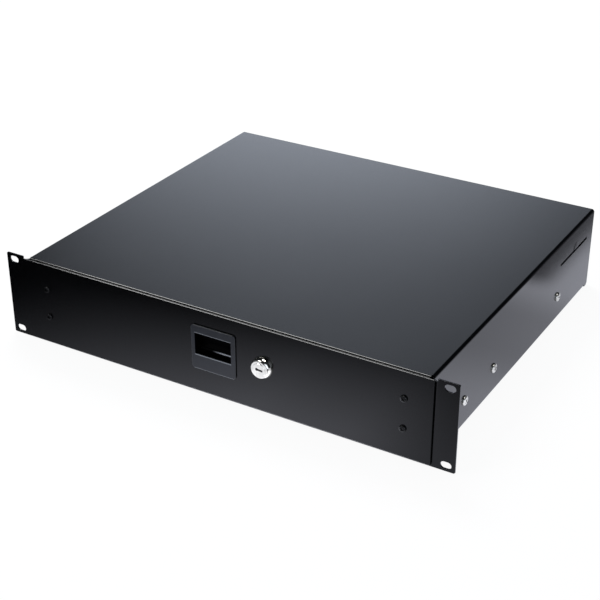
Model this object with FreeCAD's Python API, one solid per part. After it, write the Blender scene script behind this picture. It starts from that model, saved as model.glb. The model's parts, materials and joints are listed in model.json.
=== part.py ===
"""Lockable 2U sliding drawer for a 19 inch rack, on ball-bearing telescopic slides.

Millimetres. X points to the right, Y to the back and Z up. Heights below are measured from
the underside of the rack unit; place() then lowers every finished piece, so that the origin is
the centre of the four rack slots, in the plane of the front of the rack ears.
"""
import FreeCAD, Part
import math
import os

Vec = FreeCAD.Vector

# Rack unit
panel_width = 482.6
panel_height = 88.1
ear_reach = 24.7
slot_edge = 8.75
slot_spacing_x = panel_width - 2 * slot_edge
slot_spacing_z = 76.2
slot_length = 10.3
slot_width = 6.8
ear_corner = 1.0

# Chassis: top and side walls folded from one sheet
chassis_width = panel_width - 2 * ear_reach
chassis_height = 87.3
chassis_depth = 386.0
chassis_sheet = 1.5
chassis_bend = 3.0
ear_bend = 5.0
ear_relief = 1.9
top_lip = 10.0
bottom_flange = 12.0
rail_height = 4.7
rail_depth = 26.0
rear_relief = 7.0
rear_chamfer = 2.5
rear_sheet = 1.2
rear_bend = 2.6
weld_gap = 0.2

# Long slot with a formed tab, high in each side wall near the back
tie_slot_length = 74.0
tie_slot_height = 2.8
tie_slot_rear = 16.2
tie_slot_z = 61.7
tie_tab_radius = 6.5
tie_tab_rise = 1.1
tie_tab_edge = 0.8
tie_tab_offset = 4.8

# Telescopic ball slides
slide_height = 45.0
slide_thickness = 12.7
slide_front = 28.0
slide_rear_gap = 8.0
slide_length = chassis_depth - slide_rear_gap - slide_front
slide_z = 27.2
slide_sheet = 1.2
slide_bend = 2.6
race_tip = 0.6
middle_sheet = 1.1
middle_shortfall = 6.0
ball_diameter = 4.0
ball_play = 0.1
ball_row_outer = 8.6
ball_row_inner = 5.6
balls_per_row = 3
ball_facets = 8
ball_facet_rows = 4
cage_length = 160.0
cage_sheet = 0.5
cage_edge = 1.0
cage_bend = 1.25
cage_play = 0.15
inner_hook = 25.0
inner_tip = 0.1
middle_hook = 50.0
middle_tip = 0.2
bumper_height = 16.0
bumper_gap = 0.3
bumper_edge = 1.5
slide_screw_y = (70.0, 134.0, 294.0)
tray_screw_y = (60.0, 188.0, 320.0)

# Screws
screw_shank = 3.88
screw_play = 0.04
thread_play = 0.02
slide_head_diameter = 9.2
slide_head_height = 2.2
small_head_diameter = 7.4
small_head_height = 2.1
strap_head_diameter = 5.8
cam_head_diameter = 9.0
head_crown = 1.0
shank_facets = 8
head_facets = 12
nut_across_flats = 7.0
nut_height = 3.2

# Drawer tray and front
tray_sheet = 1.2
tray_bend = 2.4
tray_floor = 6.0
tray_top = 75.5
tray_rear_gap = 18.3
tray_hem = 8.0
tray_tab = 14.0
front_overhang = 2.2
front_bottom = 2.0
front_top = 87.8
front_thickness = 2.0
front_gap = 0.3
front_edge = 0.5
front_screw_inset = 26.8
front_screw_z = (31.0, 61.0)
screw_tail = 2.0

# Latch: housing, lever and bolt
latch_x = 0.4
bezel_width = 47.8
bezel_bottom = 26.6
bezel_top = 72.6
bezel_rise = 1.9
bezel_corner = 3.5
bezel_edge = 0.8
box_width = 41.2
box_bottom = 29.8
box_top = 69.4
box_depth = 24.0
box_corner = 2.0
box_play = 0.4
window_width = 39.0
window_bottom = 42.2
window_top = 64.4
bezel_wall = 1.7
cavity_depth = 11.5
cavity_bottom = 36.0
cavity_top = 68.2
pivot_y = 5.5
pivot_z = 64.8
pin_diameter = 3.0
pin_play = 0.05
hub_diameter = 5.8
lever_width = 35.0
lever_sheet = 2.0
lever_lip = 2.8
lever_bend = 4.0
lever_knee = (8.0, 50.0)
lever_tip = (3.4, 45.8)
arm_width = 9.0
bolt_setback = 6.5
arm_tip_diameter = 3.6
arm_play = 0.35
arm_slot_bottom = 57.0
bolt_width = 16.0
bolt_thickness = 5.0
bolt_nose_y = 1.8
bolt_nose_top = 80.6
bolt_nose_flat = 3.2
bolt_nose_edge = 0.6
bolt_head_bottom = 74.4
bolt_heel_top = 76.4
bolt_bottom = 50.0
bolt_play = 0.3
spring_floor = 36.0
spring_diameter = 4.4
spring_wire = 0.7
spring_turns = 5
spring_facets = 8
spring_wire_facets = 4
strap_sheet = 1.5
strap_foot = 7.5
strap_bottom = 44.0
strap_top = 56.0
strap_gap = 0.4
strap_bend = 3.0
strap_screw = 3.0
strap_screw_length = 3.0

# Cam lock
lock_x = 52.0
lock_z = 48.5
lock_flange_diameter = 21.2
lock_flange_height = 1.0
lock_head_diameter = 20.0
lock_head_height = 5.7
lock_face_diameter = 17.2
lock_bevel = 1.4
lock_thread_diameter = 18.8
lock_flats = 16.0
lock_barrel_end = 14.0
lock_play = 0.15
plug_diameter = 12.8
plug_play = 0.05
plug_rise = 0.3
key_slot_length = 6.0
key_slot_width = 1.1
key_slot_depth = 9.0
key_slot_turn = 12.0
lock_nut_flats = 24.0
lock_nut_height = 4.0
lock_nut_facets = 16
stub_size = 6.0
stub_play = 0.1
cam_sheet = 2.0
cam_width = 14.0
cam_gap = 0.5
cam_hub = 8.0
cam_crank = 17.0
cam_reach = 36.0
cam_forward = 3.4
cam_bend = 3.0
cam_corner = 3.5
cam_head_height = 1.9
cam_screw_length = 5.0

# Places that several pieces share
wall_inside = chassis_width / 2 - chassis_sheet
tray_side = wall_inside - slide_thickness
plate_back = -front_gap
plate_front = plate_back - front_thickness
front_half_width = chassis_width / 2 + front_overhang
tray_front_inside = plate_back + tray_sheet
slide_rear = slide_front + slide_length
ball_radius = ball_diameter / 2
raceway_radius = ball_radius + ball_play
outer_row_w = slide_height / 2 - slide_sheet - raceway_radius
middle_bend = raceway_radius + middle_sheet / 2
sway = math.asin((ball_row_outer - ball_row_inner) / (2 * middle_bend))
inner_row_w = outer_row_w - 2 * middle_bend * math.cos(sway)
bolt_y = box_depth - bolt_setback
lock_face = plate_front - lock_head_height


def box(low, high):
    """Block between two opposite corners."""
    return Part.makeBox(high[0] - low[0], high[1] - low[1], high[2] - low[2], Vec(*low))


def join(shapes):
    """One solid from pieces that touch, with the seams between flush faces removed."""
    return shapes[0].fuse(shapes[1:]).removeSplitter()


def mirrored(shape):
    """The same shape on the other side of the middle of the drawer."""
    return shape.mirror(Vec(0, 0, 0), Vec(1, 0, 0))


def plane_point(plane, a, b):
    """Point (a, b) of a section drawn in the "xz", "yz" or "xy" plane."""
    if plane == "xz":
        return Vec(a, 0, b)
    if plane == "yz":
        return Vec(0, a, b)
    return Vec(a, b, 0)


def strip_side(corners, radii, shift, plane):
    """Edges of one side of a bent strip, shift away from its middle line."""
    edges = []
    steps = [(b - a).normalize() for a, b in zip(corners, corners[1:])]
    normals = [Vec(-step.y, step.x, 0) for step in steps]
    at = corners[0] + normals[0] * shift
    for index, radius in enumerate(radii):
        before, after = steps[index], steps[index + 1]
        turn = math.atan2(before.x * after.y - before.y * after.x, before.dot(after))
        run = radius * math.tan(abs(turn) / 2)
        inward = math.copysign(1, turn)
        corner = corners[index + 1]
        entry = corner - before * run + normals[index] * shift
        leave = corner + after * run + normals[index + 1] * shift
        centre = corner - before * run + normals[index] * (inward * radius)
        middle = centre + (corner - centre).normalize() * (radius - inward * shift)
        ends = [plane_point(plane, p.x, p.y) for p in (at, entry, middle, leave)]
        if (entry - at).Length > 1e-6:
            edges.append(Part.makeLine(ends[0], ends[1]))
        edges.append(Part.Arc(ends[1], ends[2], ends[3]).toShape())
        at = leave
    last = corners[-1] + normals[-1] * shift
    if (last - at).Length > 1e-6:
        edges.append(Part.makeLine(plane_point(plane, at.x, at.y), plane_point(plane, last.x, last.y)))
    return edges


def bent_strip(points, radii, thickness, plane, start, end):
    """Folded sheet: its section follows points, with a bend at each corner between the ends.

    The points and the bend radii are those of the middle of the sheet. The section is drawn in
    the given plane and drawn out along the third axis, from start to end.
    """
    corners = [Vec(a, b, 0) for a, b in points]
    sides = [strip_side(corners, radii, shift, plane) for shift in (thickness / 2, -thickness / 2)]
    caps = []
    for at in (0, -1):
        tips = [side[at].Vertexes[at].Point for side in sides]
        caps.append(Part.makeLine(tips[0], tips[1]))
    outline = Part.Wire(Part.sortEdges(sides[0] + sides[1] + caps)[0])
    across = {"xz": Vec(0, 1, 0), "yz": Vec(1, 0, 0), "xy": Vec(0, 0, 1)}[plane]
    solid = Part.Face(outline).extrude(across * (end - start))
    solid.translate(across * start)
    return solid


def polygon_block(points, plane, start, end):
    """Straight-sided section drawn out along the third axis, from start to end."""
    corners = [plane_point(plane, a, b) for a, b in points]
    across = {"xz": Vec(0, 1, 0), "yz": Vec(1, 0, 0), "xy": Vec(0, 0, 1)}[plane]
    solid = Part.Face(Part.makePolygon(corners + corners[:1])).extrude(across * (end - start))
    solid.translate(across * start)
    return solid


def round_bar(diameter, start, end, axis):
    """Cylinder from start, drawn out to end along the x, y or z axis."""
    direction = {"x": Vec(1, 0, 0), "y": Vec(0, 1, 0), "z": Vec(0, 0, 1)}[axis]
    length = (Vec(*end) - Vec(*start)).Length
    return Part.makeCylinder(diameter / 2, length, Vec(*start), direction)


def slot_cutter(centre, length, width, depth):
    """Round-ended slot along X, cut through along Y."""
    x, y, z = centre
    straight = (length - width) / 2
    middle = box((x - straight, y, z - width / 2), (x + straight, y + depth, z + width / 2))
    ends = [round_bar(width, (x + end, y, z), (x + end, y + depth, z), "y") for end in (-straight, straight)]
    return middle.fuse(ends)


def prism(sides, across_flats, height):
    """Regular prism standing on z = 0, with one flat towards +X."""
    radius = across_flats / 2 / math.cos(math.pi / sides)
    angles = [2 * math.pi * (k + 0.5) / sides for k in range(sides)]
    corners = [Vec(radius * math.cos(angle), radius * math.sin(angle), 0) for angle in angles]
    return Part.Face(Part.makePolygon(corners + corners[:1])).extrude(Vec(0, 0, height))


def light_bar(diameter, start, end, axis):
    """Like round_bar, with flats in place of the curve: for small screws and their holes."""
    direction = {"x": Vec(1, 0, 0), "y": Vec(0, 1, 0), "z": Vec(0, 0, 1)}[axis]
    length = (Vec(*end) - Vec(*start)).Length
    return moved(turned_to(prism(shank_facets, diameter, length), direction), *start)


def pan_screw(head_diameter, head_height, shank, length):
    """Pan-head screw: its head stands on z = 0 and its shank points down."""
    stem = light_bar(shank, (0, 0, -length), (0, 0, 0), "z")
    head = prism(head_facets, head_diameter, head_height)
    rim = [edge for edge in head.Edges if edge.BoundBox.ZMin > head_height - 0.01]
    return join([head.makeChamfer(head_crown, rim), stem])


def turned_to(shape, direction):
    """Turn a piece built along +Z so that it points along direction."""
    turned = shape.copy()
    turned.Placement = FreeCAD.Placement(Vec(0, 0, 0), FreeCAD.Rotation(Vec(0, 0, 1), direction))
    return turned


def moved(shape, x, y, z):
    """Copy of a shape, moved."""
    copy = shape.copy()
    copy.translate(Vec(x, y, z))
    return copy


# ---------------------------------------------------------------------------- chassis

def rack_ear():
    """Right ear: flat plate on the rack, bent out of the side wall."""
    middle = chassis_width / 2 - chassis_sheet / 2
    bend = bent_strip([(middle, ear_bend), (middle, chassis_sheet / 2), (panel_width / 2, chassis_sheet / 2)],
                      [ear_bend - chassis_sheet / 2], chassis_sheet, "xy",
                      rail_height + weld_gap, chassis_height - ear_relief)
    root = wall_inside + ear_bend
    plate = box((root, 0, 0), (panel_width / 2, chassis_sheet, panel_height))
    corners = [edge for edge in plate.Edges
               if edge.BoundBox.YLength > chassis_sheet / 2 and edge.BoundBox.XMin > root + 1]
    return join([plate.makeChamfer(ear_corner, corners), bend])


def side_wall_cutters():
    """Holes of the right side wall: three for the slide's screws, and the long slot."""
    inside, outside = wall_inside - 1, chassis_width / 2 + 1
    hole = screw_shank + 2 * screw_play
    cutters = [light_bar(hole, (inside, y, slide_z), (outside, y, slide_z), "x") for y in slide_screw_y]
    rear = chassis_depth - tie_slot_rear
    half = tie_slot_height / 2
    cutters.append(box((inside, rear - tie_slot_length, tie_slot_z - half),
                       (outside, rear, tie_slot_z + half)))
    return cutters


def tie_tab():
    """Half-round tab pressed outwards above the long slot."""
    y = chassis_depth - tie_slot_rear - tie_slot_length / 2 + tie_tab_offset
    z = tie_slot_z + tie_slot_height / 2
    face = chassis_width / 2
    disc = round_bar(2 * tie_tab_radius, (face - chassis_sheet, y, z), (face + tie_tab_rise, y, z), "x")
    below = box((face - 5, y - tie_tab_radius - 1, z - tie_tab_radius - 1),
                (face + 5, y + tie_tab_radius + 1, z))
    tab = disc.cut(below)
    rim = [edge for edge in tab.Edges
           if edge.BoundBox.XMin > face + tie_tab_rise - 0.01 and edge.BoundBox.ZLength > 1]
    return tab.makeChamfer(tie_tab_edge, rim)


def rear_wall_tab():
    """Straight foot of the right side wall, behind the end of its bottom flange."""
    front = chassis_depth - rear_relief
    rear = chassis_depth
    points = [(front, 0), (rear - rear_chamfer, 0), (rear, rear_chamfer),
              (rear, 2 * chassis_bend), (front, 2 * chassis_bend)]
    return polygon_block(points, "yz", wall_inside, chassis_width / 2)


def chassis_shell():
    """Top, side walls, inward bottom flanges, front lip and ears, folded from one sheet."""
    middle = chassis_width / 2 - chassis_sheet / 2
    inner = chassis_width / 2 - bottom_flange
    low, high = chassis_sheet / 2, chassis_height - chassis_sheet / 2
    bend = chassis_bend - chassis_sheet / 2
    section = [(-inner, low), (-middle, low), (-middle, high), (middle, high), (middle, low), (inner, low)]
    body = bent_strip(section, [bend] * 4, chassis_sheet, "xz", ear_bend, chassis_depth)
    for side in (-1, 1):
        edge = side * (chassis_width / 2 + 1)
        end = side * (inner - 1)
        body = body.cut(box((min(edge, end), chassis_depth - rear_relief, -1),
                            (max(edge, end), chassis_depth + 1, 2 * chassis_bend)))
    lip_half = chassis_width / 2 - chassis_bend
    lip_bottom = chassis_height - top_lip
    lip = bent_strip([(ear_bend, high), (chassis_sheet / 2, high), (chassis_sheet / 2, lip_bottom)],
                     [bend], chassis_sheet, "yz", -lip_half, lip_half)
    side_parts = [rack_ear(), tie_tab(), rear_wall_tab()]
    body = join([body, lip] + side_parts + [mirrored(part) for part in side_parts])
    slots = [slot_cutter((x, -1, panel_height / 2 + z), slot_length, slot_width, chassis_sheet + 2)
             for x in (-slot_spacing_x / 2, slot_spacing_x / 2)
             for z in (-slot_spacing_z / 2, slot_spacing_z / 2)]
    cutters = side_wall_cutters()
    return body.cut(slots + cutters + [mirrored(cutter) for cutter in cutters])


def front_bottom_rail():
    """Angle that ties the side walls together under the drawer front."""
    low = rail_height - chassis_sheet / 2
    angle = bent_strip([(chassis_sheet / 2, 0), (chassis_sheet / 2, low), (rail_depth, low)],
                       [chassis_bend - chassis_sheet / 2], chassis_sheet, "yz", -wall_inside, wall_inside)
    end = box((wall_inside - weld_gap, 0, 0), (wall_inside + ear_bend, chassis_sheet, rail_height))
    return join([angle, end, mirrored(end)])


def rear_panel():
    """Shallow pan welded between the side walls at the back."""
    middle = wall_inside - rear_sheet / 2
    back = chassis_depth - rear_sheet / 2
    front = chassis_depth - rear_relief
    return bent_strip([(-middle, front), (-middle, back), (middle, back), (middle, front)],
                      [rear_bend - rear_sheet / 2] * 2, rear_sheet, "xy",
                      2 * chassis_sheet, chassis_height - 2 * chassis_sheet)


# ---------------------------------------------------------------------------- ball slides
# Each section is drawn for the right slide: u runs from the chassis wall towards the drawer and
# w runs up from the middle of the slide.

def slide_strip(half_section, radii, thickness, front, rear):
    """Rolled slide member from the upper half of its section, which starts at the free edge."""
    section = half_section + [(u, -w) for u, w in reversed(half_section)]
    points = [(wall_inside - u, slide_z + w) for u, w in section]
    return bent_strip(points, radii + radii[::-1], thickness, "xz", front, rear)


def slide_outer():
    """Fixed member: its flanges hook over the outer balls."""
    web = slide_sheet / 2
    race = raceway_radius + slide_sheet / 2
    top = outer_row_w + race
    half = [(ball_row_outer + race, outer_row_w - race_tip), (ball_row_outer + race, top), (web, top)]
    member = slide_strip(half, [race, slide_bend - web], slide_sheet, slide_front, slide_rear)
    hole = screw_shank + 2 * thread_play
    holes = [light_bar(hole, (wall_inside - 3, y, slide_z), (wall_inside + 1, y, slide_z), "x")
             for y in slide_screw_y]
    return member.cut(holes)


def slide_middle():
    """Floating member: its flange sways from over the inner balls to under the outer ones."""
    turn = math.pi / 2 + sway
    hook = math.radians(middle_hook)
    web = ball_row_inner - middle_bend
    crest = (web, inner_row_w + middle_bend * math.tan(turn / 2))
    inflection_u = (ball_row_inner + ball_row_outer) / 2
    inflection_w = inner_row_w + middle_bend * math.cos(sway)
    run = middle_bend * math.tan((sway + hook) / 2)
    trough = (inflection_u + run * math.cos(sway), inflection_w - run * math.sin(sway))
    reach = run + middle_tip
    tip = (trough[0] + reach * math.cos(hook), trough[1] + reach * math.sin(hook))
    return slide_strip([tip, trough, crest], [middle_bend, middle_bend], middle_sheet,
                       slide_front, slide_rear - middle_shortfall)


def slide_inner():
    """Member on the drawer: its flanges carry the inner balls from below."""
    race = raceway_radius + slide_sheet / 2
    low = inner_row_w - race
    hook = math.radians(inner_hook)
    run = race * math.tan(hook / 2)
    web = slide_thickness - slide_sheet / 2
    corner = (ball_row_inner - run, low)
    reach = run + inner_tip
    tip = (corner[0] - reach * math.cos(hook), low + reach * math.sin(hook))
    member = slide_strip([tip, corner, (web, low)], [race, slide_bend - slide_sheet / 2], slide_sheet,
                         slide_front, slide_rear - middle_shortfall)
    hole = screw_shank + 2 * thread_play
    holes = [light_bar(hole, (tray_side - 1, y, slide_z), (tray_side + 3, y, slide_z), "x")
             for y in tray_screw_y]
    return member.cut(holes)


def ball_places():
    """Places of one row of balls along the slide, spread evenly over its cage."""
    pitch = cage_length / balls_per_row
    start = slide_front + (slide_length - middle_shortfall - cage_length) / 2
    return [start + pitch * (k + 0.5) for k in range(balls_per_row)]


def cage_ends():
    """Front and rear ends of a ball cage."""
    start = slide_front + (slide_length - middle_shortfall - cage_length) / 2
    return start, start + cage_length


def ball_pockets(row_u, row_w):
    """Square pockets for the balls of both rows."""
    half = ball_radius + cage_play
    x = wall_inside - row_u
    return [box((x - half, y - half, slide_z + w - cage_sheet),
                (x + half, y + half, slide_z + w + cage_sheet))
            for y in ball_places() for w in (-row_w, row_w)]


def outer_cage():
    """Ball retainer between the outer and middle members, one C-shaped strip."""
    middle_web = ball_row_inner - middle_bend - middle_sheet / 2
    web = (slide_sheet + middle_web) / 2
    front, rear = cage_ends()
    cage = slide_strip([(ball_row_outer + cage_edge, outer_row_w), (web, outer_row_w)],
                       [cage_bend - cage_sheet / 2], cage_sheet, front, rear)
    return cage.cut(ball_pockets(ball_row_outer, outer_row_w))


def inner_cage():
    """Ball retainers between the middle and inner members, one flat strip for each row."""
    front, rear = cage_ends()
    near = wall_inside - ball_row_inner + cage_edge
    far = wall_inside - slide_thickness + slide_sheet + 2 * cage_sheet
    strips = []
    for w in (-inner_row_w, inner_row_w):
        low = slide_z + w - cage_sheet / 2
        strips.append(box((far, front, low), (near, rear, low + cage_sheet)))
    pockets = ball_pockets(ball_row_inner, inner_row_w)
    return Part.makeCompound([strip.cut(pockets) for strip in strips])


def facets_between(rings):
    """Flat facets between each ring of points and the next; a ring may be a single point."""
    faces = []
    for lower, upper in zip(rings, rings[1:]):
        count = max(len(lower), len(upper))
        for k in range(count):
            quad = [lower[k % len(lower)], lower[(k + 1) % len(lower)],
                    upper[(k + 1) % len(upper)], upper[k % len(upper)]]
            for corners in (quad[:3], [quad[0]] + quad[2:]):
                if len({tuple(corner) for corner in corners}) == 3:
                    faces.append(Part.Face(Part.makePolygon(corners + corners[:1])))
    return faces


def light_ball():
    """Ball with flat facets, so that the many balls stay light."""
    rings = []
    for row in range(ball_facet_rows + 1):
        angle = math.pi * row / ball_facet_rows
        ring_radius = ball_radius * math.sin(angle)
        height = -ball_radius * math.cos(angle)
        if row in (0, ball_facet_rows):
            rings.append([Vec(0, 0, height)])
        else:
            rings.append([Vec(ring_radius * math.cos(2 * math.pi * k / ball_facets),
                              ring_radius * math.sin(2 * math.pi * k / ball_facets), height)
                          for k in range(ball_facets)])
    return Part.Solid(Part.Shell(facets_between(rings)))


def ball_rows(row_u, row_w):
    """Steel balls of an upper and a lower row."""
    ball = light_ball()
    x = wall_inside - row_u
    return Part.makeCompound([moved(ball, x, y, slide_z + w) for y in ball_places() for w in (-row_w, row_w)])


def slide_bumper():
    """Buffer in the back of the outer member, which the other members close against."""
    front = slide_rear - middle_shortfall + bumper_gap
    half = bumper_height / 2
    block = box((tray_side + 1, front, slide_z - half),
                (wall_inside - slide_sheet, slide_rear, slide_z + half))
    upright = [edge for edge in block.Edges
               if edge.BoundBox.ZLength > half and edge.BoundBox.XMax < tray_side + 2]
    return block.makeChamfer(bumper_edge, upright)


def slide_mount_screws():
    """Screws through the chassis walls into the outer members."""
    screw = pan_screw(slide_head_diameter, slide_head_height, screw_shank, chassis_sheet + slide_sheet)
    right = [moved(turned_to(screw, Vec(1, 0, 0)), chassis_width / 2, y, slide_z) for y in slide_screw_y]
    return Part.makeCompound(right + [mirrored(screw) for screw in right])


def slide_tray_screws():
    """Screws from inside the tray into the inner members."""
    screw = pan_screw(small_head_diameter, small_head_height, screw_shank,
                      tray_sheet + slide_sheet + screw_tail)
    right = [moved(turned_to(screw, Vec(-1, 0, 0)), tray_side - tray_sheet, y, slide_z)
             for y in tray_screw_y]
    return Part.makeCompound(right + [mirrored(screw) for screw in right])


# ---------------------------------------------------------------------------- drawer

def latch_cutter(front, rear):
    """Opening for the latch housing, from front to rear."""
    half = box_width / 2 + box_play
    return box((latch_x - half, front, box_bottom - box_play), (latch_x + half, rear, box_top + box_play))


def lock_cutter(front, rear):
    """Double-D hole for the lock barrel."""
    size = lock_thread_diameter + 2 * lock_play
    hole = round_bar(size, (lock_x, front, lock_z), (lock_x, rear, lock_z), "y")
    half = lock_flats / 2 + lock_play
    return hole.common(box((lock_x - size, front, lock_z - half), (lock_x + size, rear, lock_z + half)))


def front_screw_places():
    """The four places where the drawer front is screwed to the tray."""
    x = front_half_width - front_screw_inset
    return [(side, z) for side in (-x, x) for z in front_screw_z]


def front_holes(front, rear):
    """Everything that goes through the drawer front and the tray's front wall."""
    hole = screw_shank + 2 * screw_play
    screws = [light_bar(hole, (x, front, z), (x, rear, z), "y") for x, z in front_screw_places()]
    return screws + [latch_cutter(front, rear), lock_cutter(front, rear)]


def tray_end_wall():
    """Front wall of the tray with its bend into the floor, and the tabs of the side walls behind it."""
    middle = tray_sheet / 2
    bend = tray_bend - middle
    floor = tray_floor + middle
    side_start = tray_front_inside + tray_bend
    half = tray_side - tray_bend
    wall = bent_strip([(side_start, floor), (plate_back + middle, floor), (plate_back + middle, tray_top)],
                      [bend], tray_sheet, "yz", -half, half)
    tab_y = tray_front_inside + middle
    side = tray_side - middle
    tab = bent_strip([(side, side_start), (side, tab_y), (side - tray_tab, tab_y)], [bend],
                     tray_sheet, "xy", tray_floor + tray_bend + 1, tray_top - tray_bend - 1)
    return [wall, tab, mirrored(tab)]


def drawer_tray():
    """Open box folded from one sheet, with hemmed side walls."""
    middle = tray_sheet / 2
    bend = tray_bend - middle
    side = tray_side - middle
    low, high = tray_floor + middle, tray_top - middle
    hem = side - tray_hem
    side_start = tray_front_inside + tray_bend
    side_end = chassis_depth - tray_rear_gap - (side_start - plate_back)
    body = bent_strip([(-hem, high), (-side, high), (-side, low), (side, low), (side, high), (hem, high)],
                      [bend] * 4, tray_sheet, "xz", side_start, side_end)
    front = tray_end_wall()
    centre = (side_start + side_end) / 2
    rear = [part.mirror(Vec(0, centre, 0), Vec(0, 1, 0)) for part in front]
    tray = join([body] + front + rear)
    hole = screw_shank + 2 * screw_play
    cutters = front_holes(plate_back - 1, tray_front_inside + tray_sheet + 1)
    for x in (-tray_side, tray_side):
        cutters += [light_bar(hole, (x - 2, y, slide_z), (x + 2, y, slide_z), "x") for y in tray_screw_y]
    return tray.cut(cutters)


def drawer_front():
    """Flat front plate with softened front edges."""
    plate = box((-front_half_width, plate_front, front_bottom),
                (front_half_width, plate_back, front_top))
    rim = [edge for edge in plate.Edges if edge.BoundBox.YMax < plate_front + 0.01]
    plate = plate.makeChamfer(front_edge, rim)
    return plate.cut(front_holes(plate_front - 1, plate_back + 1))


def front_grip():
    """Thickness held by each front screw: plate, tray wall and the side wall's tab."""
    return front_thickness + 2 * tray_sheet


def front_screws():
    """Four pan-head screws through the front."""
    screw = pan_screw(small_head_diameter, small_head_height, screw_shank,
                      front_grip() + nut_height + screw_tail)
    turned = turned_to(screw, Vec(0, -1, 0))
    return Part.makeCompound([moved(turned, x, plate_front, z) for x, z in front_screw_places()])


def front_nuts():
    """Nuts of the front screws, inside the tray."""
    hole = light_bar(screw_shank + 2 * thread_play, (0, 0, 0), (0, 0, nut_height), "z")
    nut = prism(6, nut_across_flats, nut_height).cut(hole)
    turned = turned_to(nut, Vec(0, 1, 0))
    return Part.makeCompound([moved(turned, x, plate_front + front_grip(), z)
                              for x, z in front_screw_places()])


# ---------------------------------------------------------------------------- latch

def latch_housing():
    """Moulded bezel and box, with the finger recess, the bolt guide and the pivot holes."""
    half = bezel_width / 2
    bezel = box((latch_x - half, plate_front - bezel_rise, bezel_bottom),
                (latch_x + half, plate_front, bezel_top))
    corners = [edge for edge in bezel.Edges if edge.BoundBox.YLength > bezel_rise / 2]
    bezel = bezel.makeFillet(bezel_corner, corners)
    rim = [edge for edge in bezel.Edges if edge.BoundBox.YMax < plate_front - bezel_rise + 0.01]
    bezel = bezel.makeChamfer(bezel_edge, rim)
    half = box_width / 2
    back = box((latch_x - half, plate_front, box_bottom), (latch_x + half, box_depth, box_top))
    corners = [edge for edge in back.Edges
               if edge.BoundBox.ZLength > box_corner and edge.BoundBox.YMin > box_depth - 0.01]
    body = join([bezel, back.makeFillet(box_corner, corners)])
    half = window_width / 2
    face = plate_front - bezel_rise
    window = box((latch_x - half, face - 1, window_bottom), (latch_x + half, cavity_depth, window_top))
    cavity = box((latch_x - half, face + bezel_wall, cavity_bottom),
                 (latch_x + half, cavity_depth, cavity_top))
    arm_half = arm_width / 2 + arm_play
    arm_slot = box((latch_x - arm_half, cavity_depth - 1, arm_slot_bottom),
                   (latch_x + arm_half, bolt_y, cavity_top))
    guide_half = bolt_width / 2 + bolt_play
    guide_depth = bolt_thickness / 2 + bolt_play
    guide = box((latch_x - guide_half, bolt_y - guide_depth, spring_floor),
                (latch_x + guide_half, bolt_y + guide_depth, box_top + 1))
    pivot = light_bar(pin_diameter, (latch_x - box_width, pivot_y, pivot_z),
                      (latch_x + box_width, pivot_y, pivot_z), "x")
    pilot_z = (strap_bottom + strap_top) / 2
    pilot = light_bar(strap_screw, (latch_x, box_depth - strap_screw_length, pilot_z),
                      (latch_x, box_depth + 1, pilot_z), "y")
    return body.cut([window, cavity, arm_slot, guide, pivot, pilot])


def latch_lever():
    """Finger lever on its pin: a paddle with a rolled lip, and an arm that works the bolt."""
    half = lever_width / 2
    left, right = latch_x - half, latch_x + half
    hub = round_bar(hub_diameter, (left, pivot_y, pivot_z), (right, pivot_y, pivot_z), "x")
    paddle = bent_strip([(pivot_y, pivot_z), lever_knee, lever_tip], [lever_bend - lever_sheet / 2],
                        lever_sheet, "yz", left, right)
    lip = round_bar(lever_lip, (left, lever_tip[0], lever_tip[1]), (right, lever_tip[0], lever_tip[1]), "x")
    arm_half = arm_width / 2
    arm = box((latch_x - arm_half, pivot_y, pivot_z - lever_sheet / 2),
              (latch_x + arm_half, bolt_y, pivot_z + lever_sheet / 2))
    tip = round_bar(arm_tip_diameter, (latch_x - arm_half, bolt_y, pivot_z),
                    (latch_x + arm_half, bolt_y, pivot_z), "x")
    bore = round_bar(pin_diameter + 2 * pin_play, (left - 1, pivot_y, pivot_z),
                     (right + 1, pivot_y, pivot_z), "x")
    return join([hub, paddle, lip, arm, tip]).cut(bore)


def lever_pin():
    """Steel pin pressed through the housing."""
    half = box_width / 2
    return round_bar(pin_diameter, (latch_x - half, pivot_y, pivot_z),
                     (latch_x + half, pivot_y, pivot_z), "x")


def latch_bolt():
    """Spring bolt: steep nose in front, long slope behind, and a notch for the lever's arm."""
    front, rear = bolt_y - bolt_thickness / 2, bolt_y + bolt_thickness / 2
    section = [(bolt_nose_y, bolt_head_bottom), (bolt_nose_y, bolt_nose_top),
               (bolt_nose_y + bolt_nose_flat, bolt_nose_top), (rear, bolt_heel_top), (rear, bolt_bottom),
               (front, bolt_bottom), (front, bolt_head_bottom)]
    half = bolt_width / 2
    bolt = polygon_block(section, "yz", latch_x - half, latch_x + half)
    nose = [edge for edge in bolt.Edges
            if edge.BoundBox.XLength > half and edge.BoundBox.ZMin > bolt_nose_top - 0.01
            and edge.BoundBox.YMax < bolt_nose_y + 0.01]
    bolt = bolt.makeFillet(bolt_nose_edge, nose)
    notch_half = arm_width / 2 + arm_play
    reach = arm_tip_diameter / 2 + arm_play
    return bolt.cut(box((latch_x - notch_half, front - 1, pivot_z - reach),
                        (latch_x + notch_half, rear + 1, pivot_z + reach)))


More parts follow.
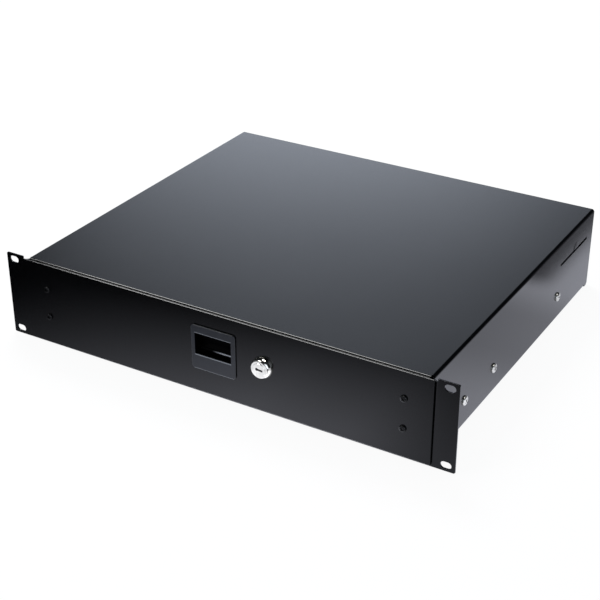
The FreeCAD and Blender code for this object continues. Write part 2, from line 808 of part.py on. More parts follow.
def latch_spring():
    """Compression spring under the bolt, its wire drawn as a bar with flats."""
    height = bolt_bottom - spring_floor - spring_wire
    steps = spring_turns * spring_facets
    wire = spring_wire / 2
    turns = [2 * math.pi * k / spring_wire_facets for k in range(spring_wire_facets)]
    rings = []
    for step in range(steps + 1):
        angle = 2 * math.pi * step / spring_facets
        out = Vec(math.cos(angle), math.sin(angle), 0)
        centre = out * (spring_diameter / 2) + Vec(0, 0, height * step / steps)
        rings.append([centre + out * (wire * math.cos(turn)) + Vec(0, 0, wire * math.sin(turn))
                      for turn in turns])
    faces = facets_between(rings)
    faces += [Part.Face(Part.makePolygon(ring + ring[:1])) for ring in (rings[0], rings[-1])]
    spring = Part.Solid(Part.Shell(faces))
    return moved(spring, latch_x, bolt_y, spring_floor + spring_wire / 2)


def latch_strap():
    """Steel strap that pulls the housing against the front from behind."""
    side = box_width / 2 + strap_gap + strap_sheet / 2
    foot = tray_front_inside + strap_sheet / 2
    back = box_depth + strap_sheet / 2
    points = [(-side - strap_foot, foot), (-side, foot), (-side, back), (side, back), (side, foot),
              (side + strap_foot, foot)]
    strap = bent_strip(points, [strap_bend - strap_sheet / 2] * 4, strap_sheet, "xy", strap_bottom, strap_top)
    strap.translate(Vec(latch_x, 0, 0))
    middle = (strap_bottom + strap_top) / 2
    return strap.cut(light_bar(strap_screw + 2 * screw_play, (latch_x, box_depth - 1, middle),
                               (latch_x, box_depth + strap_sheet + 1, middle), "y"))


def latch_strap_screw():
    """Screw through the strap into the housing."""
    screw = pan_screw(strap_head_diameter, small_head_height, strap_screw, strap_sheet + strap_screw_length)
    return moved(turned_to(screw, Vec(0, 1, 0)), latch_x, box_depth + strap_sheet,
                 (strap_bottom + strap_top) / 2)


# ---------------------------------------------------------------------------- cam lock

def turned_about_lock(profile):
    """Revolve a section given as (radius, y) points about the lock's axis."""
    corners = [Vec(lock_x + radius, y, lock_z) for radius, y in profile]
    face = Part.Face(Part.makePolygon(corners + corners[:1]))
    return face.revolve(Vec(lock_x, 0, lock_z), Vec(0, 1, 0), 360)


def lock_body():
    """Chromed head and threaded barrel with two flats, bored for the plug."""
    bore = plug_diameter / 2 + plug_play
    head = turned_about_lock([
        (bore, lock_face), (lock_face_diameter / 2, lock_face),
        (lock_head_diameter / 2, lock_face + lock_bevel),
        (lock_head_diameter / 2, plate_front - lock_flange_height),
        (lock_flange_diameter / 2, plate_front - lock_flange_height),
        (lock_flange_diameter / 2, plate_front), (bore, plate_front)])
    barrel = turned_about_lock([(bore, plate_front), (lock_thread_diameter / 2, plate_front),
                                (lock_thread_diameter / 2, lock_barrel_end), (bore, lock_barrel_end)])
    half = lock_flats / 2
    flats = box((lock_x - 20, plate_front, lock_z - half), (lock_x + 20, lock_barrel_end, lock_z + half))
    return join([head, barrel.common(flats)])


def lock_nut():
    """Hexagon nut that clamps the lock to the tray's front wall."""
    nut = prism(6, lock_nut_flats, lock_nut_height)
    nut = nut.cut(prism(lock_nut_facets, lock_thread_diameter + 2 * thread_play, lock_nut_height))
    return moved(turned_to(nut, Vec(0, 1, 0)), lock_x, tray_front_inside, lock_z)


def lock_plug():
    """Turning plug with its key slot and the square stub for the cam."""
    rear = lock_barrel_end + cam_gap / 2
    plug = round_bar(plug_diameter, (lock_x, lock_face - plug_rise, lock_z), (lock_x, rear, lock_z), "y")
    half = stub_size / 2
    stub_end = lock_barrel_end + cam_gap + cam_sheet
    stub = box((lock_x - half, rear, lock_z - half), (lock_x + half, stub_end, lock_z + half))
    half_long, half_wide = key_slot_length / 2, key_slot_width / 2
    slot = box((lock_x - half_long, lock_face - plug_rise - 1, lock_z - half_wide),
               (lock_x + half_long, lock_face + key_slot_depth, lock_z + half_wide))
    slot.rotate(Vec(lock_x, 0, lock_z), Vec(0, 1, 0), key_slot_turn)
    thread = light_bar(strap_screw, (lock_x, stub_end - cam_screw_length, lock_z),
                       (lock_x, stub_end + 1, lock_z), "y")
    return join([plug, stub]).cut([slot, thread])


def lock_cam():
    """Cranked cam: from the back of the plug it steps forwards to reach behind the chassis lip."""
    hub_y = lock_barrel_end + cam_gap + cam_sheet / 2
    bend = cam_bend - cam_sheet / 2
    points = [(-cam_hub, hub_y), (cam_crank, hub_y), (cam_crank, cam_forward), (cam_reach, cam_forward)]
    half = cam_width / 2
    cam = bent_strip(points, [bend, bend], cam_sheet, "xy", -half, half)
    ends = [edge for edge in cam.Edges if edge.BoundBox.YLength > cam_sheet * 0.9
            and edge.BoundBox.XLength < 0.01 and edge.BoundBox.ZLength < 0.01
            and (edge.BoundBox.XMin > cam_reach - 0.1 or edge.BoundBox.XMax < 0.1 - cam_hub)]
    cam = cam.makeChamfer(cam_corner, ends)
    hole = stub_size / 2 + stub_play
    cam = cam.cut(box((-hole, hub_y - cam_sheet, -hole), (hole, hub_y + cam_sheet, hole)))
    return moved(cam, lock_x, 0, lock_z)


def lock_cam_screw():
    """Screw that holds the cam on the plug's stub."""
    screw = pan_screw(cam_head_diameter, cam_head_height, strap_screw - 2 * thread_play, cam_screw_length)
    return moved(turned_to(screw, Vec(0, 1, 0)), lock_x, lock_barrel_end + cam_gap + cam_sheet, lock_z)


def place(shape):
    """Put the origin at the centre of the four rack slots."""
    shape.translate(Vec(0, 0, -panel_height / 2))
    return shape


def save(name, shape):
    """Write one piece to its own file."""
    place(shape).exportStep("parts/" + name + ".step")


os.makedirs("parts", exist_ok=True)

save("chassis_shell", chassis_shell())
save("front_bottom_rail", front_bottom_rail())
save("rear_panel", rear_panel())
save("slide_mount_screws", slide_mount_screws())
save("slide_tray_screws", slide_tray_screws())

slide_pieces = {
    "slide_outer": slide_outer(),
    "slide_middle": slide_middle(),
    "slide_inner": slide_inner(),
    "outer_cage": outer_cage(),
    "inner_cage": inner_cage(),
    "outer_balls": ball_rows(ball_row_outer, outer_row_w),
    "inner_balls": ball_rows(ball_row_inner, inner_row_w),
    "slide_bumper": slide_bumper(),
}
for name, piece in slide_pieces.items():
    save(name + "_left", mirrored(piece))
    save(name + "_right", piece)

save("drawer_tray", drawer_tray())
save("drawer_front", drawer_front())
save("front_screws", front_screws())
save("front_nuts", front_nuts())
save("latch_housing", latch_housing())
save("latch_lever", latch_lever())
save("lever_pin", lever_pin())
save("latch_bolt", latch_bolt())
save("latch_spring", latch_spring())
save("latch_strap", latch_strap())
save("latch_strap_screw", latch_strap_screw())
save("lock_body", lock_body())
save("lock_nut", lock_nut())
save("lock_plug", lock_plug())
save("lock_cam", lock_cam())
save("lock_cam_screw", lock_cam_screw())
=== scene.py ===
import json
import math

import bpy
from mathutils import Matrix, Vector


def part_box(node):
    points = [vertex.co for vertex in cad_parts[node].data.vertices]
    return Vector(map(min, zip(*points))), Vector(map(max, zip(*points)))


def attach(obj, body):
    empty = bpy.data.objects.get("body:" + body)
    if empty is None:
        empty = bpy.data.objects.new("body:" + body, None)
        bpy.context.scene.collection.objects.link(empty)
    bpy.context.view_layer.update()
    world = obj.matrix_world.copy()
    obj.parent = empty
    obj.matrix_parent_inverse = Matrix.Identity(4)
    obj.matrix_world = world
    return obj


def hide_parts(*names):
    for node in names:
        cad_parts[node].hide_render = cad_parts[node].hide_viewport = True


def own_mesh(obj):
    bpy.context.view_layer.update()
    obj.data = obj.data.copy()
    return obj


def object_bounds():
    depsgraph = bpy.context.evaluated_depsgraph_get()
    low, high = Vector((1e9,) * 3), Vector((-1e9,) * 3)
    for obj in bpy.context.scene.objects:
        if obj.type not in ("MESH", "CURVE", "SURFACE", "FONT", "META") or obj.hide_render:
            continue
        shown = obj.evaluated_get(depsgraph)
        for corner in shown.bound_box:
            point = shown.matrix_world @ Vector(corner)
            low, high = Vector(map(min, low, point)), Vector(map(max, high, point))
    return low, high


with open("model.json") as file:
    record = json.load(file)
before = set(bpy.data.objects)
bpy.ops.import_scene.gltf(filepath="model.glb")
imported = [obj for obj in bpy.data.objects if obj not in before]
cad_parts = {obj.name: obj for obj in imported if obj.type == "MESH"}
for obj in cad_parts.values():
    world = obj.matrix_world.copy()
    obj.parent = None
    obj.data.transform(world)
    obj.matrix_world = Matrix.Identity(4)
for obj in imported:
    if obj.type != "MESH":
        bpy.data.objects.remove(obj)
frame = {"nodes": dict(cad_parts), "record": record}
cad_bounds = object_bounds()
bpy.ops.object.select_all(action="DESELECT")


# ------------------------------------------------------------------ camera, table and light
# The unit stands on a table of white paper under three soft boxes, and a long lens looks down on
# its front right corner. Black paint mostly shows what it mirrors, so the table and the room have
# a second tone that only mirrored rays see.

camera_data = bpy.data.cameras.new("camera")
camera_data.lens = 81.9
camera_data.sensor_width = 36.0
camera_data.clip_start = 0.05
camera = bpy.data.objects.new("camera", camera_data)
camera_tilt, camera_turn = math.radians(90 - 28.448), math.radians(30.517)
camera.location = (0.6079, -0.8795, 0.63475)
camera.rotation_euler = (camera_tilt, 0, camera_turn)
bpy.context.scene.collection.objects.link(camera)
bpy.context.scene.camera = camera
bpy.context.scene.view_settings.view_transform = "Standard"


class Shade:
    """Output of a shader node. Sums on it add Math nodes, and node() adds any other kind."""

    def __init__(self, tree, socket=None):
        self.tree = tree
        self.socket = socket

    def node(self, kind, settings=None, inputs=None, output=0):
        """Add a node: first its settings, then the values or links of its sockets."""
        made = self.tree.nodes.new(kind)
        for name, value in (settings or {}).items():
            setattr(made, name, value)
        for name, value in (inputs or {}).items():
            if isinstance(value, Shade):
                self.tree.links.new(value.socket, made.inputs[name])
            else:
                made.inputs[name].default_value = value
        return Shade(self.tree, made.outputs[output] if made.outputs else None)

    def maths(self, operation, first, second):
        """Add a Math node."""
        return self.node("ShaderNodeMath", {"operation": operation}, {0: first, 1: second})

    def __add__(self, other):
        return self.maths("ADD", self, other)

    def __sub__(self, other):
        return self.maths("SUBTRACT", self, other)

    def __rsub__(self, other):
        return self.maths("SUBTRACT", other, self)

    def __mul__(self, other):
        return self.maths("MULTIPLY", self, other)

    def __pow__(self, other):
        return self.maths("POWER", self, other)

    __radd__ = __add__
    __rmul__ = __mul__


def step(value, low, high, change="SMOOTHSTEP"):
    """0 below low and 1 above high, with a soft or a LINEAR change between."""
    return value.node("ShaderNodeMapRange", {"interpolation_type": change},
                      {"Value": value, "From Min": low, "From Max": high})


def mixed(factor, first, second):
    """Blend of two colours."""
    return factor.node("ShaderNodeMix", {"data_type": "RGBA"}, {0: factor, 6: first, 7: second},
                       output=2)


def coordinate(place, axis):
    """One coordinate, X, Y or Z, of a place."""
    return place.node("ShaderNodeSeparateXYZ", None, {0: place}, output=axis)


def along(place, direction):
    """How far a place lies along a direction."""
    return place.node("ShaderNodeVectorMath", {"operation": "DOT_PRODUCT"},
                      {0: place, 1: direction}, output="Value")


table_top = cad_bounds[0][2]
bpy.ops.mesh.primitive_plane_add(size=12, location=(0, 0, table_top - 0.0002))
table = bpy.context.object
table.name = "table"
paper = bpy.data.materials.new("table_paper")
paper.use_nodes = True
paper.node_tree.nodes.clear()
shade = Shade(paper.node_tree)
seen = shade.node("ShaderNodeLightPath", output="Is Camera Ray")
mirrored = shade.node("ShaderNodeLightPath", output="Is Glossy Ray")
place = shade.node("ShaderNodeTexCoord", output="Object")
across = coordinate(place, "X")
back = coordinate(place, "Y")

# Mirrored tone of the table: it falls off to the left and to the front.
left_fade = step(across, -0.33, 0.035, "LINEAR") ** 1.4
front_fade = shade.maths("MINIMUM", 1.2 + back * (7.5 - 5 * across), 1.1)
front_fade = shade.maths("MAXIMUM", front_fade, 0.0)
# Dimmer places: before the right ear, beside the right wall and its middle, at the rear corner.
before_ear = step(across, 0.12, 0.23) * (1 - step(back, -0.004, 0.02))
beside_wall = step(across, 0.2, 0.215) * step(back, -0.004, 0.02)
beside_middle = step(back, 0.1, 0.22) * (1 - step(back, 0.28, 0.37)) * step(across, 0.2, 0.21)
rear_corner = step(across, 0.238, 0.268) * step(back, 0.34, 0.385)
level = left_fade * front_fade * (1 - 0.55 * before_ear) * (1 - 0.39 * beside_wall)
level = level * (1 - 0.35 * beside_middle) * (1 - 0.85 * rear_corner)
# Even tones behind the unit and in front of it.
behind = step(back, 0.02, 0.1) * (1 - step(across, 0.12, 0.2))
ahead = step(-1 * back, 0.18, 0.28)
level = level * (1 - behind) + 0.4 * behind + 0.35 * ahead

bounce = shade.node("ShaderNodeBsdfDiffuse", None, {"Color": (0.8, 0.8, 0.8, 1)})
glow = shade.node("ShaderNodeEmission", None, {"Color": (1, 1, 1, 1), "Strength": 1.0})
lit = shade.node("ShaderNodeEmission", None, {"Color": (0.87, 0.89, 1, 1), "Strength": 1.82 * level})
surface = shade.node("ShaderNodeMixShader", None, {0: seen * 0.93, 1: bounce, 2: glow})
surface = shade.node("ShaderNodeMixShader", None, {0: mirrored, 1: surface, 2: lit})
shade.node("ShaderNodeOutputMaterial", None, {"Surface": surface})
table.data.materials.append(paper)

world = bpy.data.worlds.new("studio")
bpy.context.scene.world = world
world.use_nodes = True
world.node_tree.nodes.clear()
shade = Shade(world.node_tree)
seen = shade.node("ShaderNodeLightPath", output="Is Camera Ray")
mirrored = shade.node("ShaderNodeLightPath", output="Is Glossy Ray")
place = shade.node("ShaderNodeTexCoord", output="Generated")
height = coordinate(place, "Z")
levelled = (1.0 - height * height) ** 0.5

# Mirrored tone of the room: a pale wall straight behind the unit that darkens upwards and to the
# right, two lit walls low in front and to the right, and a faint glow along the horizon.
facing = along(place, (-0.485, 0.875, 0.0))
rightward = along(place, (0.875, 0.485, 0.0))
forward = -1 * coordinate(place, "Y")
rear_wall = step(facing - 0.963 * levelled, 0.0, 0.037, "LINEAR")
rear_wall = rear_wall * (1 - 0.60 * step(height, 0.345, 0.47)) * (1 - step(height, 0.50, 0.66))
rear_wall = rear_wall * (1 - 0.15 * step(rightward, 0.09, 0.2))
front_wall = step(forward, 0.3, 0.6) * (1 - step(height, 0.28, 0.4))
right_wall = step(coordinate(place, "X"), 0.2, 0.4) * step(forward, 0.25, 0.45)
right_wall = right_wall * (1 - step(height, 0.56, 0.68))
horizon = 0.02 + 0.06 * (1 - step(height, 0.0, 0.25))
room = horizon + 0.7 * front_wall + 1.5 * right_wall + 2.9 * rear_wall
strength = seen + (1 - seen) * (mirrored * room + (1 - mirrored) * 0.6)
tint = mixed(seen, (0.80, 0.87, 1, 1), (1, 1, 1, 1))
air = shade.node("ShaderNodeBackground", None, {"Color": tint, "Strength": strength})
shade.node("ShaderNodeOutputWorld", None, {"Surface": air})


def soft_box(name, place, aim, size, power):
    """Rectangular lamp at a place, turned to face a point."""
    lamp = bpy.data.lights.new(name, "AREA")
    lamp.shape = "RECTANGLE"
    lamp.size, lamp.size_y = size
    lamp.energy = power
    box = bpy.data.objects.new(name, lamp)
    box.location = place
    box.rotation_euler = (Vector(aim) - Vector(place)).to_track_quat("-Z", "Y").to_euler()
    box.visible_camera = False
    bpy.context.scene.collection.objects.link(box)


lamp_height = 1.7
soft_box("soft_box_above", (0.2, 0.2, lamp_height), (0.1, 0.2, 0), (1.0, 0.9), 9)
soft_box("soft_box_left", (-1.06, 1.05, lamp_height), (-1.06, 1.05, 0), (1.2, 0.8), 47)
soft_box("soft_box_front", (-1.15, -1.33, lamp_height), (-1.15, -1.33, 0), (1.3, 0.35), 16)


# ------------------------------------------------------------------ painted sheet steel
# Chassis, bottom rail and rear pan are folded from steel sheet, welded together and powder coated
# black: a satin coat with the slight orange peel that the powder leaves when it melts.

def noise(place, scale, detail):
    """Noise of a scale over a place."""
    return place.node("ShaderNodeTexNoise", None,
                      {"Vector": place, "Scale": scale, "Detail": detail})


def toned(colour, factor):
    """A colour made lighter or darker."""
    return tuple(value * factor for value in colour[:3]) + (1,)


def new_finish(name):
    """New material, and the place on the piece for its patterns."""
    material = bpy.data.materials.new(name)
    material.use_nodes = True
    place = Shade(material.node_tree).node("ShaderNodeTexCoord", output="Object")
    return material, place


def lay_on(material, tone, roughness, relief, strength, depth, constants):
    """Give a material its colour, its roughness, its fine relief and its constant values."""
    bump = tone.node("ShaderNodeBump", None,
                     {"Strength": strength, "Distance": depth, "Height": relief})
    sockets = material.node_tree.nodes["Principled BSDF"].inputs
    for name, value in constants.items():
        sockets[name].default_value = value
    for name, value in (("Base Color", tone), ("Roughness", roughness), ("Normal", bump)):
        material.node_tree.links.new(value.socket, sockets[name])
    return material


def powder_coat(name, colour, roughness):
    """Black powder coat over sheet steel."""
    material, place = new_finish(name)
    peel, grain, drift = noise(place, 900.0, 2.0), noise(place, 4200.0, 1.0), noise(place, 11.0, 3.0)
    tone = mixed(step(drift, 0.3, 0.7), colour, toned(colour, 1.25))
    return lay_on(material, tone, roughness - 0.03 + drift * 0.05 + grain * 0.02,
                  peel + grain * 0.35, 0.12, 0.0002, {"Specular IOR Level": 0.3})


def stand_for(piece, node):
    """Put a finished piece in the place of its part, on the body that the part belongs to."""
    bodies = frame["record"]["behaviour"]["bodies"]
    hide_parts(node)
    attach(piece, next(name for name, nodes in bodies.items() if node in nodes))


def refined(node, material, edge=0.00012, segments=2, angle=32, shape=None):
    """Copy of a part with its folds shaded smooth and its cut edges slightly broken."""
    bpy.ops.object.select_all(action="DESELECT")
    piece = bpy.data.objects.new(node + "_finished", frame["nodes"][node].data.copy())
    bpy.context.scene.collection.objects.link(piece)
    bpy.context.view_layer.objects.active = piece
    piece.select_set(True)
    piece.data.materials.clear()
    piece.data.materials.append(material)
    bpy.ops.object.mode_set(mode="EDIT")
    bpy.ops.mesh.select_all(action="SELECT")
    bpy.ops.mesh.remove_doubles(threshold=0.000002)
    bpy.ops.mesh.dissolve_limited(angle_limit=math.radians(0.4))
    bpy.ops.object.mode_set(mode="OBJECT")
    if shape:
        for point in piece.data.vertices:
            point.co = shape(point.co)
    bevel = piece.modifiers.new("broken_edge", "BEVEL")
    bevel.width = edge
    bevel.segments = segments
    bevel.limit_method = "ANGLE"
    bevel.angle_limit = math.radians(angle)
    bevel.use_clamp_overlap = False
    bpy.ops.object.shade_smooth()
    bpy.ops.object.modifier_apply(modifier=bevel.name)
    # Where edges meet at a notch the bevel can stand out of the part's own box.
    low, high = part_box(node)
    for point in piece.data.vertices:
        point.co = [min(max(value, least), most)
                    for value, least, most in zip(point.co, low, high)]
    level = piece.modifiers.new("flat_faces", "WEIGHTED_NORMAL")
    level.mode = "FACE_AREA"
    level.weight = 100
    bpy.ops.object.modifier_apply(modifier=level.name)
    stand_for(piece, node)
    return piece


wall_outside = 0.2166


def eased_wall(co):
    """Flatter tab over the tie slot, slot opened downwards inside, wider bend at the ears."""
    beyond, height = abs(co.x) - wall_outside, co.z
    on_tab = 0.32 < co.y < 0.355 and beyond > 0
    on_ear_bend = co.y < 0.0066 and 0 < beyond < 0.0052 and height > -0.038
    under_slot = (0.295 < co.y < 0.371 and -0.01 < beyond < -0.001
                  and abs(height - 0.01625) < 0.0004)
    if on_tab:
        beyond *= 0.3
    elif on_ear_bend:
        beyond *= 1.32
    elif under_slot:
        height -= 0.003
    return Vector((math.copysign(wall_outside + beyond, co.x), co.y, height))


black_paint = powder_coat("black_powder_coat", (0.0010, 0.0011, 0.0013, 1), 0.14)
refined("chassis_shell", black_paint, shape=eased_wall)
for node in ("front_bottom_rail", "rear_panel"):
    refined(node, black_paint)


# ------------------------------------------------------------------ drawer tray and front
# The tray is one folded sheet with hemmed sides, and the front a flat plate screwed to it, both in
# the same black coat as the chassis.

refined("drawer_tray", black_paint)
front_face = -0.0023


def sloped_top(co):
    """Top edge of the front: a narrow land in front of a slope down to the back."""
    if co.z < 0.043:
        return co
    if co.y > -0.0004:
        return Vector((co.x, -0.0003, 0.0426))
    if co.y > -0.002:
        return Vector((co.x, -0.0017, 0.04326))
    return Vector((co.x, front_face, 0.04314))


refined("drawer_front", black_paint, edge=0.0001, segments=3, shape=sloped_top)


# ------------------------------------------------------------------ screws and nuts
# Zinc-plated pan heads hold the slides to the chassis and the tray. Four blackened ones hold the
# front, with hexagon nuts behind it. Heads are pressed with a cross recess, threads are rolled.

def plated_metal(name, colour, roughness, scale, stretch):
    """Bright metal with fine marks, drawn out along one way where it was rolled."""
    material, place = new_finish(name)
    drawn = place.node("ShaderNodeMapping", None, {"Vector": place, "Scale": stretch})
    marks, cloud = noise(drawn, scale, 3.0), noise(place, 160.0, 2.0)
    tone = mixed(step(cloud, 0.35, 0.65), colour, toned(colour, 0.82))
    return lay_on(material, tone, roughness + (marks - 0.5) * 0.12 + (cloud - 0.5) * 0.06,
                  marks, 0.1, 0.00005, {"Metallic": 1.0})


def turned(name, profile, vertices=40):
    """Turned piece along Z: profile gives (radius, height) points from its start to its end."""
    bpy.ops.object.select_all(action="DESELECT")
    radius, height = profile[0]
    bpy.ops.mesh.primitive_circle_add(vertices=vertices, radius=radius, fill_type="NGON",
                                      location=(0, 0, height))
    piece = bpy.context.object
    piece.name = name
    bpy.ops.object.transform_apply(location=True, rotation=False, scale=False)
    bpy.ops.object.mode_set(mode="EDIT")
    for next_radius, next_height in profile[1:]:
        rise = (0, 0, next_height - height)
        bpy.ops.mesh.extrude_region_move(TRANSFORM_OT_translate={"value": rise})
        ratio = next_radius / radius
        bpy.ops.transform.resize(value=(ratio, ratio, 1))
        radius, height = next_radius, next_height
    bpy.ops.mesh.select_all(action="SELECT")
    bpy.ops.mesh.normals_make_consistent(inside=False)
    bpy.ops.object.mode_set(mode="OBJECT")
    return piece


def block(size, place, turn=0.0):
    """Plain block of a size, centred on a place and turned about Z."""
    bpy.ops.object.select_all(action="DESELECT")
    bpy.ops.mesh.primitive_cube_add(size=1, location=place)
    made = bpy.context.object
    made.scale = size
    made.rotation_euler = (0, 0, turn)
    bpy.ops.object.transform_apply(location=True, rotation=True, scale=True)
    return made


def bar(sides, radius, length, place=(0, 0, 0)):
    """Plain bar along Z with a number of sides, centred on a place."""
    bpy.ops.object.select_all(action="DESELECT")
    bpy.ops.mesh.primitive_cylinder_add(vertices=sides, radius=radius, depth=length, location=place)
    return bpy.context.object


def cut(piece, cutter, operation="DIFFERENCE"):
    """Cut a piece with another one, or join the two, and remove the other one."""
    boolean = piece.modifiers.new("cut", "BOOLEAN")
    boolean.operation = operation
    boolean.object = cutter
    boolean.solver = "EXACT"
    bpy.context.view_layer.objects.active = piece
    bpy.ops.object.modifier_apply(modifier=boolean.name)
    bpy.data.objects.remove(cutter)


def thread(radius, depth, pitch, start, end):
    """Profile points of a thread of ridges, from start up to end."""
    points = []
    for k in range(int((end - start) / pitch)):
        low = start + k * pitch
        points += [(radius - depth, low), (radius, low + pitch * 0.4), (radius, low + pitch * 0.6)]
    return points + [(radius - depth, end)]


def pan_screw(name, head, height, shank, length):
    """Pan-head screw: its head stands on z = 0 and its shank points down."""
    radius = head / 2
    crown = height * 0.62
    rim = height - crown
    flat = radius * 0.34
    arc = [math.radians(angle) for angle in (0, 15, 30, 45, 60, 72, 82)]
    dome = [(flat + (radius - flat) * math.cos(a) ** 0.85, rim + crown * math.sin(a)) for a in arc]
    tip = [(shank * 0.32, -length), (shank * 0.42, -length + 0.0003)]
    grooves = thread(shank / 2, 0.0003, 0.0007, -length + 0.0004, -0.0006)
    neck = [(shank / 2, -0.0003), (shank / 2, 0), (radius * 0.97, 0), (radius, 0.0001)]
    piece = turned(name, tip + grooves + neck + dome + [(flat * 0.5, height)], 36)
    recess = (2 * radius * 0.56, 0.00095, 2 * height * 0.62)
    for turn in (0, math.pi / 2):
        cut(piece, block(recess, (0, 0, height), turn))
    return piece


def hex_nut(name, flats, height, bore):
    """Hexagon nut standing on z = 0, with its corners turned off at both ends."""
    blank = turned(name, [(flats * 0.5, 0), (flats * 0.58, flats * 0.045),
                          (flats * 0.58, height - flats * 0.045), (flats * 0.5, height)], 48)
    cut(blank, bar(6, flats / math.sqrt(3), height * 3), "INTERSECT")
    cut(blank, turned("hole", [(bore / 2, -0.001), (bore / 2, height + 0.001)], 32))
    return blank


def finish_piece(pieces, node, material, angle=35):
    """Join what stands for one part, smooth it, and hand it over."""
    bpy.ops.object.select_all(action="DESELECT")
    for piece in pieces:
        piece.select_set(True)
    bpy.context.view_layer.objects.active = pieces[0]
    if len(pieces) > 1:
        bpy.ops.object.join()
    piece = bpy.context.object
    piece.name = node + "_finished"
    piece.data.materials.clear()
    piece.data.materials.append(material)
    bpy.ops.object.shade_smooth_by_angle(angle=math.radians(angle))
    stand_for(piece, node)


def set_out(original, node, material, slot, *rows):
    """Copies of a screw or nut in rows of places and the way each row points, as one part."""
    copies = []
    for places, way in rows:
        turn = Vector((0, 0, 1)).rotation_difference(Vector(way)).to_matrix().to_4x4()
        for index, place in enumerate(places):
            copy = bpy.data.objects.new(original.name, original.data.copy())
            spin = Matrix.Rotation(0.6 + 1.1 * index, 4, "Z")
            copy.data.transform(Matrix.Translation(place) @ turn @ spin)
            bpy.context.scene.collection.objects.link(copy)
            copies.append(copy)
    finish_piece(copies, node, material)
    bpy.data.objects.remove(original)


def to_left(places):
    """The same places on the left side."""
    return [(-x, y, z) for x, y, z in places]


zinc = plated_metal("bright_zinc", (0.80, 0.79, 0.73, 1), 0.27, 900.0, (1, 1, 1))
slide_z = -0.01685
wall_places = [(wall_outside, y, slide_z) for y in (0.070, 0.134, 0.294)]
set_out(pan_screw("wall_screw", 0.0092, 0.0022, 0.004, 0.0027),
        "slide_mount_screws", zinc, "zinc_screws",
        (wall_places, (1, 0, 0)), (to_left(wall_places), (-1, 0, 0)))

tray_places = [(0.2012, y, slide_z) for y in (0.060, 0.188, 0.320)]
set_out(pan_screw("tray_screw", 0.0073, 0.0021, 0.004, 0.0044),
        "slide_tray_screws", zinc, "zinc_screws",
        (tray_places, (-1, 0, 0)), (to_left(tray_places), (1, 0, 0)))

blackened = powder_coat("blackened_steel", (0.0012, 0.0012, 0.0013, 1), 0.24)
front_places = [(x, front_face, z) for x in (-0.192, 0.192) for z in (-0.01305, 0.01695)]
set_out(pan_screw("front_screw", 0.0068, 0.0021, 0.004, 0.0096),
        "front_screws", blackened, "black_screws", (front_places, (0, -1, 0)))
set_out(hex_nut("nut", 0.007, 0.0032, 0.004), "front_nuts", zinc, "zinc_screws",
        ([(x, 0.0021, z) for x, y, z in front_places], (0, 1, 0)))


# ------------------------------------------------------------------ ball slides
# Three rolled steel members on each side, zinc plated, with hardened balls in pressed steel cages.
# The outer one is screwed to the chassis and the inner one to the tray.

rolled = plated_metal("rolled_zinc", (0.66, 0.67, 0.69, 1), 0.3, 1400.0, (1, 0.03, 1))
cage_steel = plated_metal("cage_steel", (0.5, 0.5, 0.51, 1), 0.34, 1600.0, (1, 0.1, 1))
polished = plated_metal("polished_steel", (0.8, 0.8, 0.81, 1), 0.08, 600.0, (1, 1, 1))
ball_radius = 0.002
balls_in_row = 3


def ball(place):
    """One ball of a slide."""
    bpy.ops.object.select_all(action="DESELECT")
    bpy.ops.mesh.primitive_ico_sphere_add(subdivisions=3, radius=ball_radius, location=place)
    bpy.ops.object.transform_apply(location=True, rotation=False, scale=False)
    return bpy.context.object


for side in ("left", "right"):
    for node in ("slide_outer", "slide_middle", "slide_inner"):
        refined(node + "_" + side, rolled, edge=0.0001)
    for node in ("outer_cage", "inner_cage"):
        refined(node + "_" + side, cage_steel, edge=0.00005, segments=1)
    for node in ("outer_balls", "inner_balls"):
        low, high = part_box(node + "_" + side)
        pitch = (high[1] - low[1] - 2 * ball_radius) / (balls_in_row - 1)
        balls = [ball(((low[0] + high[0]) / 2, low[1] + ball_radius + k * pitch, row))
                 for row in (low[2] + ball_radius, high[2] - ball_radius)
                 for k in range(balls_in_row)]
        finish_piece(balls, node + "_" + side, polished, angle=180)


# ------------------------------------------------------------------ moulded plastic
# Latch housing, finger lever and bolt are black moulded plastic with a fine matt grain. The housing
# sits in the front's opening with the lever on its pin and the bolt in its guide. The buffers of
# the slides are moulded too, a little softer.

def moulded_plastic(name, colour, roughness, grain_scale=2600.0, specular=0.4, marks=None):
    """Moulded plastic with a fine spark-eroded grain. Marks paint highlights and shade into its
    colour in places.
    """
    material, place = new_finish(name)
    grain, cloud = noise(place, grain_scale, 2.0), noise(place, 70.0, 2.0)
    tone = mixed(step(cloud, 0.3, 0.7), colour, toned(colour, 1.3))
    if marks:
        tone = marks(tone, *(coordinate(place, axis) for axis in "XYZ"))
    return lay_on(material, tone, roughness + (grain - 0.5) * 0.15, grain, 0.25, 0.00006,
                  {"Specular IOR Level": specular})


def band(value, low, high, soft=0.00012):
    """1 between low and high, with soft ends."""
    return step(value, low - soft, low + soft) * (1 - step(value, high - soft, high + soft))


def bezel_highlights_and_recess_shade(tone, across, depth, height):
    """Painted highlights along the bezel's edges and painted shade inside the recess."""
    lower_rim_highlight = band(height, -0.0176, -0.0164)
    window_rim_highlights = band(height, -0.0026, -0.0018) + band(height, 0.0203, 0.0210)
    edges = lower_rim_highlight + window_rim_highlights * band(across, -0.0193, 0.0201)
    tone = mixed(edges, tone, (0.2, 0.21, 0.225, 1))
    return mixed(step(depth, -0.0040, -0.0030), tone, (0.0008, 0.0008, 0.001, 1))


def lever_lip_highlight(tone, across, depth, height):
    """Painted highlight along the front of the lever's lip, towards its right."""
    lit_lip = (1 - step(depth, 0.0022, 0.0028)) * step(across, -0.005, 0.008)
    return mixed(lit_lip * band(height, 0.0014, 0.0026, 0.0004), tone, (0.35, 0.36, 0.38, 1))
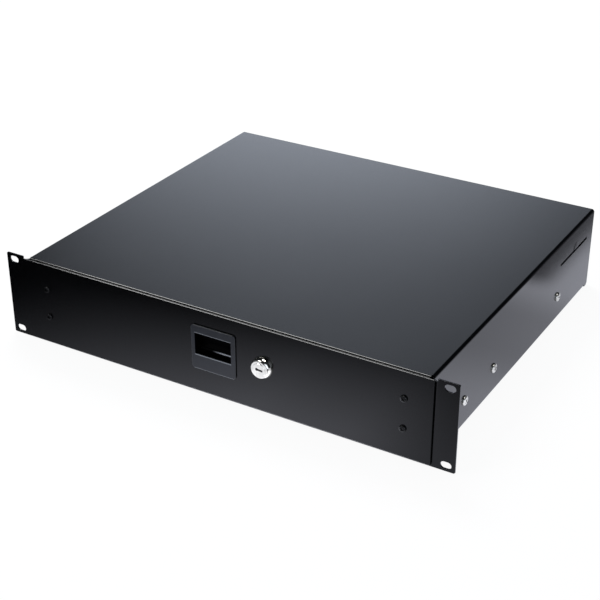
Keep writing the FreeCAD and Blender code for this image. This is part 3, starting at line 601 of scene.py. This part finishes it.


# The housing's colour holds painted highlights along the bezel's rims and painted shade inside its
# recess.
housing_plastic = moulded_plastic("latch_plastic", (0.0105, 0.0122, 0.0158, 1), 0.34,
                                  specular=0.36, marks=bezel_highlights_and_recess_shade)
# The lever is a much darker, nearly unglossy copy of the housing's plastic: painted shade for the
# lever deep in the recess.
shaded_lever_plastic = moulded_plastic("shaded_lever_plastic", (0.0006, 0.0006, 0.0008, 1), 0.5,
                                specular=0.02, marks=lever_lip_highlight)
bolt_plastic = moulded_plastic("bolt_plastic", (0.0115, 0.0132, 0.017, 1), 0.38)
buffer_plastic = moulded_plastic("buffer_plastic", (0.02, 0.02, 0.02, 1), 0.55, 1800.0)
for side in ("left", "right"):
    refined("slide_bumper_" + side, buffer_plastic, edge=0.0003)
refined("latch_housing", housing_plastic, edge=0.0003, segments=3)
refined("latch_lever", shaded_lever_plastic, edge=0.0002, segments=3)
refined("latch_bolt", bolt_plastic, edge=0.0002, segments=3)


# ------------------------------------------------------------------ steel parts of the latch
# A polished pin carries the lever and a wound spring lifts the bolt, shortening as the lever draws
# it down. A zinc-plated strap with one screw pulls the housing against the front.

satin_zinc = plated_metal("satin_zinc", (0.62, 0.63, 0.65, 1), 0.33, 1100.0, (1, 1, 0.3))
refined("lever_pin", polished, edge=0.0002)
spring = refined("latch_spring", polished, edge=0.00005, angle=60)
latch_x = 0.0004
low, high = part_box("latch_spring")
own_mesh(spring)
refined("latch_strap", satin_zinc)
set_out(pan_screw("strap_screw", 0.0058, 0.0021, 0.003, 0.0045),
        "latch_strap_screw", zinc, "zinc_screws", ([(latch_x, 0.0255, 0.00595)], (0, 1, 0)))


# ------------------------------------------------------------------ cam lock
# Chromed zinc die-cast lock: a domed flange, a bevelled head and a threaded barrel with two
# flats, and in it the plug with the key slot. Behind sit the nut, the cranked cam and its screw.

chrome = plated_metal("polished_chrome", (0.98, 0.96, 0.87, 1), 0.06, 300.0, (1, 1, 1))
lock_x, lock_z = 0.052, 0.00445
lock_axis = Matrix.Translation((lock_x, 0, lock_z)) @ Matrix.Rotation(math.pi / 2, 4, "X")

shoulder = [(0.0106, 0.0023), (0.0106, 0.0035), (0.0102, 0.0046), (0.0095, 0.0059),
            (0.0088, 0.0069), (0.00862, 0.007), (0.00862, 0.0078), (0.00845, 0.008)]
barrel = thread(0.0094, 0.0004, 0.001, -0.0136, -0.0006) + [(0.0094, -0.0002), (0.0094, 0.0023)]
body = turned("lock_body_turned", [(0.0086, -0.014)] + barrel + shoulder + [(0.0079, 0.008)], 96)
for side in (-1, 1):
    cut(body, block((0.03, 0.004, 0.0163), (0, side * 0.01, -0.00585)))
cut(body, turned("bore", [(0.00645, -0.015), (0.00645, 0.009)], 96))
body.data.transform(lock_axis)
finish_piece([body], "lock_body", chrome, angle=30)

# The plug carries the key slot, which is round at one end, and a square stub for the cam.
key_tilt = math.radians(-6)
key_reach = 0.006
key_end = (-0.0022 * math.cos(key_tilt), -0.0022 * math.sin(key_tilt), key_reach)
plug = turned("lock_plug_turned", [(0.006, -0.01425), (0.0064, -0.0139), (0.0064, 0.0082),
                                   (0.0063, 0.0083), (0.003, 0.0083)], 96)
cut(plug, block((0.0074, 0.002, 2 * key_reach), (0, 0, key_reach), key_tilt))
cut(plug, bar(24, 0.0015, 2 * key_reach, key_end))
cut(plug, block((0.006, 0.006, 0.004), (0, 0, -0.0155)), "UNION")
plug.data.transform(lock_axis)
finish_piece([plug], "lock_plug", chrome, angle=30)

# Dark block just under the face in the key slot: painted shade that keeps the deep slot black.
slot_shade_block = block((0.0078, 0.0034, 0.0006), (0, 0, 0.00785), key_tilt)
slot_shade_block.data.transform(lock_axis)
slot_shade_block.data.materials.append(blackened)
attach(slot_shade_block, "lock_plug")

refined("lock_nut", satin_zinc)
refined("lock_cam", satin_zinc)
set_out(pan_screw("cam_screw", 0.009, 0.0019, 0.003, 0.005),
        "lock_cam_screw", zinc, "zinc_screws", ([(lock_x, 0.0165, lock_z)], (0, 1, 0)))
